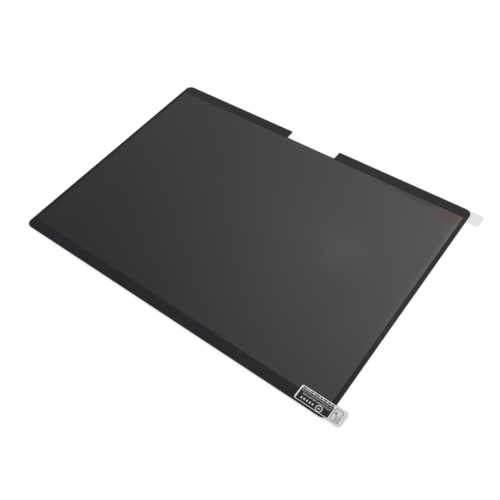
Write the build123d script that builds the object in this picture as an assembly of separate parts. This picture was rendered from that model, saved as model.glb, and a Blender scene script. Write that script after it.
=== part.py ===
from build123d import *
import os

# The filter lies flat: +X to the right, +Y to the notched edge, +Z out of the front.
# The origin is the middle of the rear face. All sizes are in millimetres.

# Viewing window, for a 13.5 inch display of 3:2, and the black border round it
window_width = 285.0
window_height = 190.0
side_border = 3.5
top_border = 9.3
bottom_border = 9.0
corner_radius = 5.5

# Camera notch in the middle of the top edge
notch_width = 48.7
notch_land = 0.7  # border left between the notch's floor and the window
notch_mouth_radius = 1.0
notch_root_radius = 1.2

# Thickness of each film, from the back to the front
rear_liner_thickness = 0.10
filter_thickness = 0.45
border_thickness = 0.08
front_liner_thickness = 0.08
peel_tab_thickness = 0.10
film_gap = 0.02  # air or weak glue under each film that peels off

# Width over which the front liner comes down from the border into the window
liner_ramp = 1.5

# Pull tab of the rear liner, level with the sheet's top edge
rear_tab_overhang = 9.9
rear_tab_width = 11.8
rear_tab_upper_radius = 1.5
rear_tab_lower_radius = 3.0
rear_tab_root_radius = 0.8

# Printed peel tab, stuck on the front liner's lower right corner
peel_tab_grip = 26.2  # length that lies on the sheet
peel_tab_overhang = 10.0
peel_tab_width = 12.3
peel_tab_inset = 0.3  # from the sheet's bottom edge
peel_tab_grip_radius = 1.5
peel_tab_upper_radius = 1.8
peel_tab_lower_radius = 3.2

# Edges of the sheet, and the level where each film begins
right_edge = window_width / 2 + side_border
top_edge = (window_height + top_border + bottom_border) / 2
bottom_edge = -top_edge
window_middle = (bottom_border - top_border) / 2
notch_edge = notch_width / 2
notch_floor = top_edge - top_border + notch_land
filter_level = rear_liner_thickness + film_gap
border_level = filter_level + filter_thickness
front_liner_level = border_level + border_thickness + film_gap
window_film_level = front_liner_level - border_thickness
peel_tab_level = front_liner_level + front_liner_thickness + film_gap

plain_corner = [(right_edge, top_edge, corner_radius)]


def rounded_face(corners):
    """Flat face inside corners given as (x, y, radius), anticlockwise."""
    points = [(x, y) for x, y, radius in corners]
    radii = [radius for x, y, radius in corners]
    return make_face(FilletPolyline(*points, radius=radii, close=True).edges())


def sheet_face(upper_right):
    """Notched outline that all the films share, with what its upper right corner is made of."""
    return rounded_face(
        [
            (-notch_edge, top_edge, notch_mouth_radius),
            (-right_edge, top_edge, corner_radius),
            (-right_edge, bottom_edge, corner_radius),
            (right_edge, bottom_edge, corner_radius),
            *upper_right,
            (notch_edge, top_edge, notch_mouth_radius),
            (notch_edge, notch_floor, notch_root_radius),
            (-notch_edge, notch_floor, notch_root_radius),
        ]
    )


def window_face(margin, level):
    """The viewing window, drawn in by a margin on every side."""
    face = Rectangle(window_width - 2 * margin, window_height - 2 * margin)
    return Pos(0, window_middle, level) * face


def make_rear_liner():
    """Clear release film on the back, cut in one piece with its pull tab."""
    tab_end = right_edge + rear_tab_overhang
    tab_foot = top_edge - rear_tab_width
    tab = [
        (right_edge, tab_foot, rear_tab_root_radius),
        (tab_end, tab_foot, rear_tab_lower_radius),
        (tab_end, top_edge, rear_tab_upper_radius),
    ]
    return extrude(sheet_face(tab), rear_liner_thickness)


def make_filter_sheet():
    """Dark louvre film, one laminated sheet."""
    return extrude(Pos(Z=filter_level) * sheet_face(plain_corner), filter_thickness)


def make_border_frame():
    """Black frame film round the window, with square inner corners."""
    face = Pos(Z=border_level) * sheet_face(plain_corner) - window_face(0, border_level)
    return extrude(face, border_thickness)


def make_front_liner():
    """Clear protective film, level on the border and let down a ramp on to the window."""
    flat = extrude(Pos(Z=front_liner_level) * sheet_face(plain_corner), front_liner_thickness)
    well = loft(
        [window_face(liner_ramp, window_film_level), window_face(0, front_liner_level)],
        ruled=True,
    )
    return flat + well - Pos(Z=front_liner_thickness) * well


def make_front_peel_tab():
    """Film label that overhangs the right edge, to be gripped when the front liner comes off."""
    grip_end = right_edge - peel_tab_grip
    free_end = right_edge + peel_tab_overhang
    foot = bottom_edge + peel_tab_inset
    head = foot + peel_tab_width
    face = rounded_face(
        [
            (grip_end, foot, peel_tab_grip_radius),
            (free_end, foot, peel_tab_lower_radius),
            (free_end, head, peel_tab_upper_radius),
            (grip_end, head, peel_tab_grip_radius),
        ]
    )
    return extrude(Pos(Z=peel_tab_level) * face, peel_tab_thickness)


pieces = {
    "rear_liner": make_rear_liner(),
    "filter_sheet": make_filter_sheet(),
    "border_frame": make_border_frame(),
    "front_liner": make_front_liner(),
    "front_peel_tab": make_front_peel_tab(),
}

os.makedirs("parts", exist_ok=True)
for name, piece in pieces.items():
    export_step(piece, f"parts/{name}.step")
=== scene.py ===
import math

import bmesh
import bpy
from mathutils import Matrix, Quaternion, Vector


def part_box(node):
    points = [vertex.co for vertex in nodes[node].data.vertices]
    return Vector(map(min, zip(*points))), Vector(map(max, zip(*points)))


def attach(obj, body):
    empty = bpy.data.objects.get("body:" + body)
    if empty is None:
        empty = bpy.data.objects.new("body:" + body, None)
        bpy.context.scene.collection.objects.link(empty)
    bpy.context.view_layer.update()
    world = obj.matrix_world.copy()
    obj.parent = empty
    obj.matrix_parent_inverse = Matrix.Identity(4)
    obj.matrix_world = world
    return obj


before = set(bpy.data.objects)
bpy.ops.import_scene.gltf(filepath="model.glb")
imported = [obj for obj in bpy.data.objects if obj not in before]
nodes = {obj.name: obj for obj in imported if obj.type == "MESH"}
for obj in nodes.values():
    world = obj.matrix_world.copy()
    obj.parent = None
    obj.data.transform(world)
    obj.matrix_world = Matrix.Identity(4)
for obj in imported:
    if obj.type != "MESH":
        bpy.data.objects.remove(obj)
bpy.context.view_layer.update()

mm = 0.001
print("frame loaded:", ", ".join(sorted(nodes)))


# The camera stands over the lower right corner of the sheet and looks down on it
cameraView = {
    "place": (227.37, -242.37, 387.95),  # mm
    "target": (23.68, -22.44, 0.0),  # mm, where the middle of the picture meets the desk
    "roll": 7.06,  # degrees, clockwise as seen in the picture
    "lens": 45.85,  # mm
    "sensor": 36.0,  # mm wide
}

cameraData = bpy.data.cameras.new("camera")
cameraData.lens = cameraView["lens"]
cameraData.sensor_width = cameraView["sensor"]
camera = bpy.data.objects.new("camera", cameraData)
camera.location = Vector(cameraView["place"]) * mm
sightLine = Vector(cameraView["target"]) * mm - camera.location
rollTurn = Quaternion((0.0, 0.0, 1.0), math.radians(-cameraView["roll"]))
camera.rotation_euler = (sightLine.to_track_quat("-Z", "Y") @ rollTurn).to_euler()
bpy.context.scene.collection.objects.link(camera)
bpy.context.scene.camera = camera
bpy.context.scene.view_settings.view_transform = "Standard"
print("camera placed")


# Turns an sRGB hex code into linear red, green and blue, with an alpha of 1
def linearColour(code):
    shares = [int(code[i:i + 2], 16) / 255 for i in (1, 3, 5)]
    return [s / 12.92 if s <= 0.04045 else ((s + 0.055) / 1.055) ** 2.4 for s in shares] + [1.0]


# Adds a node; a name or number that is one of its sockets is set there, any other is a setting
def addNode(tree, kind, settings=None, links=None):
    node = tree.nodes.new(kind)
    for name, value in (settings or {}).items():
        if isinstance(name, int) or name in node.inputs:
            node.inputs[name].default_value = value
        else:
            setattr(node, name, value)
    for name, source in (links or {}).items():
        tree.links.new(source, node.inputs[name])
    return node


def newMaterial(name):
    material = bpy.data.materials.new(name)
    material.use_nodes = True
    material.node_tree.nodes.clear()
    return material, material.node_tree


# 1 on the flat faces of a film and 0 on its cut edges
def flatShare(tree):
    facing = addNode(tree, "ShaderNodeNewGeometry").outputs["True Normal"]
    upward = addNode(tree, "ShaderNodeSeparateXYZ", links={0: facing}).outputs["Z"]
    return addNode(tree, "ShaderNodeMath", {"operation": "ABSOLUTE"}, {0: upward}).outputs[0]


def dressNode(name, material):
    mesh = nodes[name].data
    mesh.materials.clear()
    mesh.materials.append(material)


# Pale room, darker overhead and bright on the camera's side. Heights are sines of the elevation.
room = {
    "colour": "#fcfcff",  # a touch cool
    "wallLevel": 0.487,
    "ceilingLevel": 0.073,
    "wallTop": 0.051,  # height where the wall begins to darken
    "ceilingEdge": 0.431,  # and where it is darkest
    "backTilt": 1.3,  # how much further up the bright wall reaches at the back
    "frontLevel": 1.35,  # added on the camera's side, so that shadows stay soft
    "frontEdge": 0.6,  # how far round to the front that is whole
    "skirtLevel": 0.5,  # added along the horizon, so that the floor fades into a pale backdrop
    "skirtTop": 0.3,
}


def lightRoom():
    world = bpy.data.worlds.new("studio")
    world.use_nodes = True
    tree = world.node_tree
    tree.nodes.clear()
    direction = addNode(tree, "ShaderNodeTexCoord").outputs["Generated"]
    axes = addNode(tree, "ShaderNodeSeparateXYZ", links={0: direction}).outputs
    height = addNode(
        tree,
        "ShaderNodeMath",
        {"operation": "MULTIPLY_ADD", 1: -room["backTilt"]},
        {0: axes["Y"], 2: axes["Z"]},
    )
    ramps = (  # what each follows, where it begins and ends, and its level at both
        (height.outputs[0], room["wallTop"], room["ceilingEdge"], room["wallLevel"], room["ceilingLevel"]),
        (axes["Z"], 0.0, room["skirtTop"], room["skirtLevel"], 0.0),
        (axes["Y"], 0.0, -room["frontEdge"], 0.0, room["frontLevel"]),
    )
    levels = []
    for source, begins, ends, firstLevel, lastLevel in ramps:
        ramp = addNode(
            tree,
            "ShaderNodeMapRange",
            {
                "interpolation_type": "SMOOTHSTEP",
                "From Min": begins,
                "From Max": ends,
                "To Min": firstLevel,
                "To Max": lastLevel,
            },
            {"Value": source},
        )
        levels.append(ramp.outputs[0])
    level = levels[0]
    for extra in levels[1:]:
        level = addNode(tree, "ShaderNodeMath", {"operation": "ADD"}, {0: level, 1: extra}).outputs[0]
    air = addNode(tree, "ShaderNodeBackground", {"Color": linearColour(room["colour"])}, {"Strength": level})
    addNode(tree, "ShaderNodeOutputWorld", links={"Surface": air.outputs[0]})
    bpy.context.scene.world = world


# A broad soft lamp at the back, and a small one beside it that leaves a faint glow on the film
lampColour = "#fffff9"  # a touch warm
lamps = (  # angle in degrees across, for soft edges
    {"name": "broad_lamp", "from": (0.269, 0.719, 0.641), "angle": 43.6, "strength": 1.87},
    {"name": "small_lamp", "from": (-0.302, 0.482, 0.823), "angle": 10.0, "strength": 0.155},
)


def hangLamps():
    for look in lamps:
        lamp = bpy.data.lights.new(look["name"], "SUN")
        lamp.energy = look["strength"]
        lamp.color = linearColour(lampColour)[:3]
        lamp.angle = math.radians(look["angle"])
        lampObject = bpy.data.objects.new(look["name"], lamp)
        lampObject.rotation_euler = Vector(look["from"]).to_track_quat("Z", "Y").to_euler()
        bpy.context.scene.collection.objects.link(lampObject)


# White paper floor
paperFloor = {
    "size": 12.0,  # m
    "drop": 0.1,  # mm under the rear film, so that the two faces don't coincide
    "colour": "#ffffff",
    "glow": 0.55,  # share of plain white that the eye sees in it, which keeps shadows faint
}


def layFloor():
    bm = bmesh.new()
    bmesh.ops.create_grid(bm, x_segments=1, y_segments=1, size=paperFloor["size"] / 2)
    bmesh.ops.translate(bm, verts=bm.verts, vec=(0.0, 0.0, -paperFloor["drop"] * mm))
    mesh = bpy.data.meshes.new("floor")
    bm.to_mesh(mesh)
    bm.free()
    material, tree = newMaterial("white paper")
    white = linearColour(paperFloor["colour"])
    paper = addNode(tree, "ShaderNodeBsdfDiffuse", {"Color": white})
    glow = addNode(tree, "ShaderNodeEmission", {"Color": white, "Strength": 1.0})
    rays = addNode(tree, "ShaderNodeLightPath").outputs
    seen = rays["Is Camera Ray"]
    for kind in ("Is Glossy Ray", "Is Transmission Ray"):
        seen = addNode(tree, "ShaderNodeMath", {"operation": "MAXIMUM"}, {0: seen, 1: rays[kind]}).outputs[0]
    share = addNode(tree, "ShaderNodeMath", {"operation": "MULTIPLY", 1: paperFloor["glow"]}, {0: seen})
    backdrop = addNode(
        tree,
        "ShaderNodeMixShader",
        links={0: share.outputs[0], 1: paper.outputs[0], 2: glow.outputs[0]},
    )
    addNode(tree, "ShaderNodeOutputMaterial", links={"Surface": backdrop.outputs[0]})
    mesh.materials.append(material)
    floor = bpy.data.objects.new("floor", mesh)
    bpy.context.scene.collection.objects.link(floor)


lightRoom()
hangLamps()
layFloor()
print("studio lit")


# Louvre film: polyester over rows of black silicone louvres, with a matt anti-glare coat.
# It looks a deep neutral grey with a broad soft sheen, close up it has hair lines, and its cut edge is dull.
louvreFilm = {
    "colour": "#070708",
    "lineColour": "#040405",
    "pitch": 0.6,  # mm, drawn six times coarser than the real 0.1, which is too fine to show
    "grit": 0.3,  # mm, drawn about ten times coarser than the coat's own grit
    "gritDepth": 0.02,  # mm
    "gritStrength": 0.15,
    "cloud": 70.0,  # mm, uneven lamination
    "cloudSpan": (0.3, 0.7),  # noise where the film is smoothest and where it is roughest
    "roughness": 0.43,
    "unevenness": 0.02,  # of the roughness, from cloud to cloud
    "ior": 1.69,
    "sheen": "#f6f5ff",  # a faint blue cast in what it mirrors
    "gloss": 0.5,  # of the coated face
    "edgeGloss": 0.12,  # of the cut edge, which has no coat
}


def louvreFilmMaterial():
    material, tree = newMaterial("louvre film")
    place = addNode(tree, "ShaderNodeTexCoord").outputs["Object"]
    waveTurn = 20  # radians that the wave node turns over a unit length, at a scale of 1
    lines = addNode(
        tree,
        "ShaderNodeTexWave",
        {
            "wave_type": "BANDS",
            "bands_direction": "X",
            "Scale": math.tau / (waveTurn * louvreFilm["pitch"] * mm),
        },
        {"Vector": place},
    )
    cloud = addNode(
        tree,
        "ShaderNodeTexNoise",
        {"Scale": 1 / (louvreFilm["cloud"] * mm), "Detail": 2.0},
        {"Vector": place},
    )
    grit = addNode(
        tree,
        "ShaderNodeTexNoise",
        {"Scale": 1 / (louvreFilm["grit"] * mm), "Detail": 3.0},
        {"Vector": place},
    )
    colour = addNode(
        tree,
        "ShaderNodeMix",
        {
            "data_type": "RGBA",
            6: linearColour(louvreFilm["colour"]),
            7: linearColour(louvreFilm["lineColour"]),
        },
        {0: lines.outputs["Fac"]},
    )
    smoothest, roughest = louvreFilm["cloudSpan"]
    roughness = addNode(
        tree,
        "ShaderNodeMapRange",
        {
            "From Min": smoothest,
            "From Max": roughest,
            "To Min": louvreFilm["roughness"] - louvreFilm["unevenness"],
            "To Max": louvreFilm["roughness"] + louvreFilm["unevenness"],
        },
        {"Value": cloud.outputs["Fac"]},
    )
    bump = addNode(
        tree,
        "ShaderNodeBump",
        {"Strength": louvreFilm["gritStrength"], "Distance": louvreFilm["gritDepth"] * mm},
        {"Height": grit.outputs["Fac"]},
    )
    gloss = addNode(
        tree,
        "ShaderNodeMapRange",
        {"To Min": louvreFilm["edgeGloss"], "To Max": louvreFilm["gloss"]},
        {"Value": flatShare(tree)},
    )
    film = addNode(
        tree,
        "ShaderNodeBsdfPrincipled",
        {"IOR": louvreFilm["ior"], "Specular Tint": linearColour(louvreFilm["sheen"])},
        {
            "Base Color": colour.outputs[2],
            "Roughness": roughness.outputs["Result"],
            "Specular IOR Level": gloss.outputs["Result"],
            "Normal": bump.outputs["Normal"],
        },
    )
    addNode(tree, "ShaderNodeOutputMaterial", links={"Surface": film.outputs[0]})
    return material


# Black border film: polyester with a matt black ink. It looks an even black, deeper than the window, with
# a faint sheen where it turns to the light.
borderFilm = {
    "colour": "#242427",
    "paleColour": "#28282b",
    "grain": 0.5,  # mm, drawn coarser than the ink's own grain
    "grainDepth": 0.02,  # mm
    "grainStrength": 0.2,
    "roughness": 0.16,
    "ior": 1.295,
    "sheen": "#f6f5ff",
}


def borderFilmMaterial():
    material, tree = newMaterial("black border film")
    place = addNode(tree, "ShaderNodeTexCoord").outputs["Object"]
    grain = addNode(
        tree,
        "ShaderNodeTexNoise",
        {"Scale": 1 / (borderFilm["grain"] * mm), "Detail": 4.0},
        {"Vector": place},
    )
    colour = addNode(
        tree,
        "ShaderNodeMix",
        {
            "data_type": "RGBA",
            6: linearColour(borderFilm["colour"]),
            7: linearColour(borderFilm["paleColour"]),
        },
        {0: grain.outputs["Fac"]},
    )
    bump = addNode(
        tree,
        "ShaderNodeBump",
        {"Strength": borderFilm["grainStrength"], "Distance": borderFilm["grainDepth"] * mm},
        {"Height": grain.outputs["Fac"]},
    )
    film = addNode(
        tree,
        "ShaderNodeBsdfPrincipled",
        {
            "IOR": borderFilm["ior"],
            "Roughness": borderFilm["roughness"],
            "Specular Tint": linearColour(borderFilm["sheen"]),
        },
        {"Base Color": colour.outputs[2], "Normal": bump.outputs["Normal"]},
    )
    addNode(tree, "ShaderNodeOutputMaterial", links={"Surface": film.outputs[0]})
    return material


# Soft patches in the haze of every clear film
hazePatches = {
    "size": 12.0,  # mm
    "span": (0.25, 0.75),  # noise where the haze is least and where it is most
    "spread": 0.2,  # of the haze, up and down
}


def patchyHaze(tree, place, haze):
    patches = addNode(
        tree,
        "ShaderNodeTexNoise",
        {"Scale": 1 / (hazePatches["size"] * mm), "Detail": 3.0},
        {"Vector": place},
    )
    least, most = hazePatches["span"]
    level = addNode(
        tree,
        "ShaderNodeMapRange",
        {
            "From Min": least,
            "From Max": most,
            "To Min": haze * (1 - hazePatches["spread"]),
            "To Max": haze * (1 + hazePatches["spread"]),
        },
        {"Value": patches.outputs["Fac"]},
    )
    return level.outputs["Result"]


# Clear polyester films: they let most light through, with a little haze, and look darker at their cut edges
clearFilms = {
    "rear_liner": {
        "name": "clear release film",
        "tint": "#f6f5f5",
        "edgeTint": "#9c9c9c",
        "colour": "#e6e6e6",
        "haze": 0.03,
        "roughness": 0.3,
        "ior": 1.5,
    },
    "front_peel_tab": {
        "name": "clear label film",
        "tint": "#ececec",
        "edgeTint": "#9c9c9c",
        "colour": "#e6e6e6",
        "haze": 0.004,
        "roughness": 0.3,
        "ior": 1.5,
    },
}


def clearFilmMaterial(look):
    material, tree = newMaterial(look["name"])
    place = addNode(tree, "ShaderNodeTexCoord").outputs["Object"]
    tint = addNode(
        tree,
        "ShaderNodeMix",
        {"data_type": "RGBA", 6: linearColour(look["edgeTint"]), 7: linearColour(look["tint"])},
        {0: flatShare(tree)},
    )
    through = addNode(tree, "ShaderNodeBsdfTransparent", links={"Color": tint.outputs[2]})
    body = addNode(
        tree,
        "ShaderNodeBsdfPrincipled",
        {"Base Color": linearColour(look["colour"]), "Roughness": look["roughness"], "IOR": look["ior"]},
    )
    film = addNode(
        tree,
        "ShaderNodeMixShader",
        links={0: patchyHaze(tree, place, look["haze"]), 1: through.outputs[0], 2: body.outputs[0]},
    )
    addNode(tree, "ShaderNodeOutputMaterial", links={"Surface": film.outputs[0]})
    return material


# Clear protective film: polyester that hardly shows. Masks on it paint reflections with a rough mirror:
# a pale strip down the window's right side, a red corner at the upper right with a pale line above it,
# a pale edge under the notch and a broad pale spot. A dim edge beside the red corner is painted shade.
# One small spot is a speck of dust.
protectiveFilm = {
    "colour": "#e6e6e8",
    # painted reflection: the red that the corner mirrors
    "paintedRedReflectionColour": "#a02818",
    "haze": 0.0007,
    "tint": "#ffffff",
    # painted shade: see-through tints that darken the dim edge and, faintly and warmly, the red corner
    "paintedShadeTints": {"paintedShadeEdge": "#f7f7f7", "corner": "#fffbf8"},
    # mm, where each painted reflection or shade mark begins, is whole and ends, across and up the sheet
    "marks": {
        "paintedReflectionStrip": {"X": (137.5, 143.5, 142.5), "Y": (-100.0, 80.0, 94.85), "haze": 0.025},
        # the red corner is a painted reflection, with a little painted shade in its tint
        "corner": {"X": (115.0, 131.0, 142.5), "Y": (82.0, 92.0, 93.6), "haze": 0.03},
        "paintedPaleLine": {"X": (112.0, 124.0, 142.5), "Y": (93.6, 94.1, 94.85), "haze": 0.011},
        "paintedShadeEdge": {"X": (60.0, 105.0, 121.0), "Y": (88.0, 93.0, 94.85), "haze": 0.0},
        "paintedNotchReflection": {"X": (-26.0, -18.0, 25.0), "Y": (90.0, 93.5, 94.85), "haze": 0.0065},
    },
    # mm from the sheet's middle, and how far each spot fades out
    "dustAndPaintedHighlightSpots": (
        {"place": (33.9, 23.8), "size": 0.5, "haze": 0.043},  # a speck of dust
        {"place": (83.5, 17.0), "size": 30.0, "haze": 0.006},  # a broad painted highlight
    ),
    "metallic": 1.0,  # a rough mirror, which carries the painted reflections
    "roughness": 0.45,
}


# How much of each painted reflection or painted shade mark there is, from 0 to 1
def paintedLightShares(tree, place):
    axes = addNode(tree, "ShaderNodeSeparateXYZ", links={0: place}).outputs
    shares = {}
    for name, mark in protectiveFilm["marks"].items():
        factors = []
        for axis in "XY":
            begins, full, ends = (length * mm for length in mark[axis])
            rise = {"interpolation_type": "SMOOTHSTEP", "From Min": begins, "From Max": full}
            ramp = addNode(tree, "ShaderNodeMapRange", rise, {"Value": axes[axis]})
            inside = addNode(tree, "ShaderNodeMath", {"operation": "LESS_THAN", 1: ends}, {0: axes[axis]})
            factors += [ramp.outputs[0], inside.outputs[0]]
        share = factors[0]
        for factor in factors[1:]:
            both = {0: share, 1: factor}
            share = addNode(tree, "ShaderNodeMath", {"operation": "MULTIPLY"}, both).outputs[0]
        shares[name] = share
    return shares


# Haze of the whole film, with its painted reflection marks, a broad painted highlight and a speck of dust
def hazeDustAndPaintedLight(tree, place, shares):
    haze = patchyHaze(tree, place, protectiveFilm["haze"])
    for name, mark in protectiveFilm["marks"].items():
        haze = addNode(
            tree,
            "ShaderNodeMath",
            {"operation": "MULTIPLY_ADD", 1: mark["haze"]},
            {0: shares[name], 2: haze},
        ).outputs[0]
    for spot in protectiveFilm["dustAndPaintedHighlightSpots"]:
        x, y = spot["place"]
        middle = (x * mm, y * mm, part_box("front_liner")[0][2])
        reach = addNode(tree, "ShaderNodeVectorMath", {"operation": "DISTANCE", 1: middle}, {0: place})
        fade = addNode(
            tree,
            "ShaderNodeMapRange",
            {
                "interpolation_type": "SMOOTHSTEP",
                "From Min": 0.0,
                "From Max": spot["size"] * mm,
                "To Min": spot["haze"],
                "To Max": 0.0,
            },
            {"Value": reach.outputs["Value"]},
        )
        haze = addNode(tree, "ShaderNodeMath", {"operation": "ADD"}, {0: fade.outputs[0], 1: haze}).outputs[0]
    return haze


def protectiveFilmMaterial():
    material, tree = newMaterial("clear protective film")
    place = addNode(tree, "ShaderNodeTexCoord").outputs["Object"]
    shares = paintedLightShares(tree, place)
    haze = hazeDustAndPaintedLight(tree, place, shares)
    through = addNode(tree, "ShaderNodeBsdfTransparent", {"Color": linearColour(protectiveFilm["tint"])})
    # Painted shade: darker see-through tints under the dim edge and the red corner
    for name, code in protectiveFilm["paintedShadeTints"].items():
        paintedShadeThrough = addNode(tree, "ShaderNodeBsdfTransparent", {"Color": linearColour(code)})
        sources = {0: shares[name], 1: through.outputs[0], 2: paintedShadeThrough.outputs[0]}
        through = addNode(tree, "ShaderNodeMixShader", links=sources)
    # Painted reflection: the mirror turns red in the corner
    paintedRedHaze = protectiveFilm["marks"]["corner"]["haze"]
    red = addNode(tree, "ShaderNodeMath", {"operation": "MULTIPLY", 1: paintedRedHaze}, {0: shares["corner"]})
    paintedRedShare = addNode(tree, "ShaderNodeMath", {"operation": "DIVIDE"}, {0: red.outputs[0], 1: haze})
    colour = addNode(
        tree,
        "ShaderNodeMix",
        {
            "data_type": "RGBA",
            6: linearColour(protectiveFilm["colour"]),
            7: linearColour(protectiveFilm["paintedRedReflectionColour"]),
        },
        {0: paintedRedShare.outputs[0]},
    )
    body = addNode(
        tree,
        "ShaderNodeBsdfPrincipled",
        {"Metallic": protectiveFilm["metallic"], "Roughness": protectiveFilm["roughness"]},
        {"Base Color": colour.outputs[2]},
    )
    film = addNode(tree, "ShaderNodeMixShader", links={0: haze, 1: through.outputs[0], 2: body.outputs[0]})
    addNode(tree, "ShaderNodeOutputMaterial", links={"Surface": film.outputs[0]})
    return material


dressNode("filter_sheet", louvreFilmMaterial())
dressNode("border_frame", borderFilmMaterial())
dressNode("front_liner", protectiveFilmMaterial())
for nodeName, look in clearFilms.items():
    dressNode(nodeName, clearFilmMaterial(look))
print("films dressed")


# Ink on the peel tab, in mm from the tab's lower left corner: a white ground with a black panel on it
# where the tab lies on the sheet, and a pictogram in thin lines on the part that overhangs
tabPrint = {
    "layer": 0.02,  # thickness of one layer of ink
    "ground": (0.45, 1.05, 26.9, 11.95),  # left, foot, right and head
    "groundRadius": 1.2,
    "panel": (1.5, 1.45, 26.15, 10.0),
    "panelRadius": 0.4,
    "wordGap": 0.7,
    "bandRow": {"start": (1.8, 10.4), "height": 0.9, "words": (3.0, 1.3, 2.4, 3.9, 1.6, 2.8, 2.0, 2.0)},
    "panelRows": (
        {"start": (2.2, 9.05), "height": 0.15, "words": (2.7, 3.6, 1.2, 4.4, 2.1, 3.2, 1.8)},
        {"start": (2.2, 8.35), "height": 0.15, "words": (4.0, 1.6, 3.1, 2.3, 1.4, 4.2, 2.4)},
        {"start": (4.0, 7.1), "height": 0.2, "words": (4.2, 1.5, 3.3, 2.4, 4.6, 1.6)},
        {"start": (4.0, 6.4), "height": 0.2, "words": (2.5, 3.8, 1.9, 4.4, 1.4, 3.6)},
    ),
    "peelMarks": {"count": 5, "start": (4.0, 3.85), "pitch": 2.15, "length": 1.3, "height": 2.0},
    "badge": {"middle": (18.4, 3.65), "radius": 2.4, "stroke": 0.5, "arrow": 2.2},
    "outline": (27.1, 1.6, 33.2, 10.6),
    "outlineRadius": 0.9,
    "corner": (30.0, 1.6, 33.2, 5.8),
    "cornerRadius": 0.8,
    "line": 0.3,
    "dot": {"middle": (31.6, 3.7), "radius": 0.8},
    "pullArrow": {"tip": (28.4, 8.2), "tail": (30.4, 5.6), "head": 1.5},
    "headSpread": 0.6,  # half the breadth of an arrow's head, as a share of its length
    "cornerSteps": 6,
    "ringSteps": 36,
}


# Rounded plate, flat at height 0, that fills a box given as left, foot, right and head
def addPlate(bm, box, radius=0.0):
    left, foot, right, head = box
    corners = bmesh.ops.create_grid(bm, x_segments=1, y_segments=1, size=0.5)["verts"]
    bmesh.ops.scale(bm, verts=corners, vec=(right - left, head - foot, 1.0))
    bmesh.ops.translate(bm, verts=corners, vec=((left + right) / 2, (foot + head) / 2, 0.0))
    if radius:
        corners = bmesh.ops.bevel(
            bm,
            geom=corners,
            offset=radius,
            affect="VERTICES",
            segments=tabPrint["cornerSteps"],
            profile=0.5,
            material=-1,
        )["verts"]
    return corners[0].link_faces[0]


def addOutline(bm, box, radius, line):
    plate = addPlate(bm, box, radius)
    bmesh.ops.inset_individual(bm, faces=[plate], thickness=line, use_even_offset=True)
    bmesh.ops.delete(bm, geom=[plate], context="FACES")


def addRing(bm, middle, radius, stroke):
    rims = []
    for rimRadius in (radius, radius - stroke):
        rim = bmesh.ops.create_circle(bm, cap_ends=False, segments=tabPrint["ringSteps"], radius=rimRadius)
        rims += rim["verts"]
    edges = list({edge for vert in rims for edge in vert.link_edges})
    bmesh.ops.bridge_loops(bm, edges=edges)
    bmesh.ops.translate(bm, verts=rims, vec=(*middle, 0.0))


# Row of bars of uneven length, as greeked words
def addRow(bm, row):
    left, foot = row["start"]
    for length in row["words"]:
        addPlate(bm, (left, foot, left + length, foot + row["height"]))
        left += length + tabPrint["wordGap"]


def addShape(bm, points):
    bm.faces.new([bm.verts.new((x, y, 0.0)) for x, y in points])


def addArrow(bm, tip, tail, head, stroke):
    tip, tail = Vector(tip), Vector(tail)
    along = (tail - tip).normalized()
    across = Vector((-along.y, along.x))
    neck = tip + along * head
    barb = across * head * tabPrint["headSpread"]
    side = across * stroke / 2
    outline = [tip, neck - barb, neck - side, tail - side, tail + side, neck + side, neck + barb]
    addShape(bm, outline)


# Screen-printed ink: an even coat with a dull gloss and a little mottle
inks = {
    "white": {
        "name": "white screen ink",
        "colour": "#d8d8da",
        "mottleColour": "#cfcfd2",
        "mottle": 0.8,  # mm
        "roughness": 0.5,
        "ior": 1.5,
    },
    "black": {
        "name": "black screen ink",
        "colour": "#131315",
        "mottleColour": "#171719",
        "mottle": 0.8,  # mm
        "roughness": 0.4,
        "ior": 1.35,
    },
}


def inkMaterial(ink):
    material, tree = newMaterial(ink["name"])
    place = addNode(tree, "ShaderNodeTexCoord").outputs["Object"]
    mottle = addNode(
        tree,
        "ShaderNodeTexNoise",
        {"Scale": 1 / (ink["mottle"] * mm), "Detail": 3.0},
        {"Vector": place},
    )
    colour = addNode(
        tree,
        "ShaderNodeMix",
        {"data_type": "RGBA", 6: linearColour(ink["colour"]), 7: linearColour(ink["mottleColour"])},
        {0: mottle.outputs["Fac"]},
    )
    coat = addNode(
        tree,
        "ShaderNodeBsdfPrincipled",
        {"IOR": ink["ior"], "Roughness": ink["roughness"]},
        {"Base Color": colour.outputs[2]},
    )
    addNode(tree, "ShaderNodeOutputMaterial", links={"Surface": coat.outputs[0]})
    return material


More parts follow.
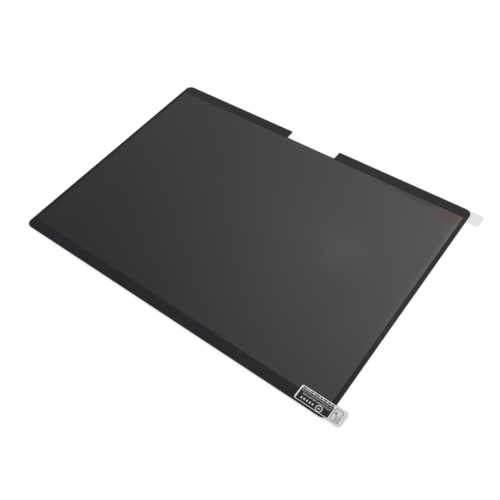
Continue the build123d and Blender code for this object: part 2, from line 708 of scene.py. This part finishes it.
# Gives flat shapes the thickness of a layer of ink and lays them on the tab, layer by layer
def layInk(name, bm, layer, material):
    tabLow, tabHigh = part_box("front_peel_tab")
    raised = bmesh.ops.extrude_face_region(bm, geom=bm.faces[:], use_keep_orig=True)["geom"]
    tops = [item for item in raised if isinstance(item, bmesh.types.BMVert)]
    bmesh.ops.translate(bm, verts=tops, vec=(0.0, 0.0, tabPrint["layer"]))
    bmesh.ops.recalc_face_normals(bm, faces=bm.faces[:])
    bmesh.ops.scale(bm, verts=bm.verts[:], vec=(mm, mm, mm))
    level = tabHigh[2] + layer * tabPrint["layer"] * mm
    bmesh.ops.translate(bm, verts=bm.verts[:], vec=(tabLow[0], tabLow[1], level))
    mesh = bpy.data.meshes.new(name)
    bm.to_mesh(mesh)
    bm.free()
    mesh.materials.append(material)
    piece = bpy.data.objects.new(name, mesh)
    piece.visible_shadow = False  # the film under it already shades the desk
    bpy.context.scene.collection.objects.link(piece)
    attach(piece, "root")


def printTab():
    whiteInk = inkMaterial(inks["white"])
    blackInk = inkMaterial(inks["black"])

    ground = bmesh.new()
    addPlate(ground, tabPrint["ground"], tabPrint["groundRadius"])
    layInk("tab_white_ground", ground, 0, whiteInk)

    dark = bmesh.new()
    addPlate(dark, tabPrint["panel"], tabPrint["panelRadius"])
    addRow(dark, tabPrint["bandRow"])
    addOutline(dark, tabPrint["outline"], tabPrint["outlineRadius"], tabPrint["line"])
    addOutline(dark, tabPrint["corner"], tabPrint["cornerRadius"], tabPrint["line"])
    addRing(dark, tabPrint["dot"]["middle"], tabPrint["dot"]["radius"], tabPrint["line"])
    pull = tabPrint["pullArrow"]
    addArrow(dark, pull["tip"], pull["tail"], pull["head"], tabPrint["line"])
    layInk("tab_black_print", dark, 1, blackInk)

    pale = bmesh.new()
    for row in tabPrint["panelRows"]:
        addRow(pale, row)
    marks = tabPrint["peelMarks"]
    x, y = marks["start"]
    for step in range(marks["count"]):
        tip = x + step * marks["pitch"]
        base = tip + marks["length"]
        addShape(pale, [(tip, y), (base, y - marks["height"] / 2), (base, y + marks["height"] / 2)])
    badge = tabPrint["badge"]
    addRing(pale, badge["middle"], badge["radius"], badge["stroke"])
    x, y = badge["middle"]
    reach = badge["arrow"] / 2
    addArrow(pale, (x - reach, y), (x + reach, y), reach, badge["stroke"])
    layInk("tab_white_print", pale, 2, whiteInk)


printTab()
print("tab printed")
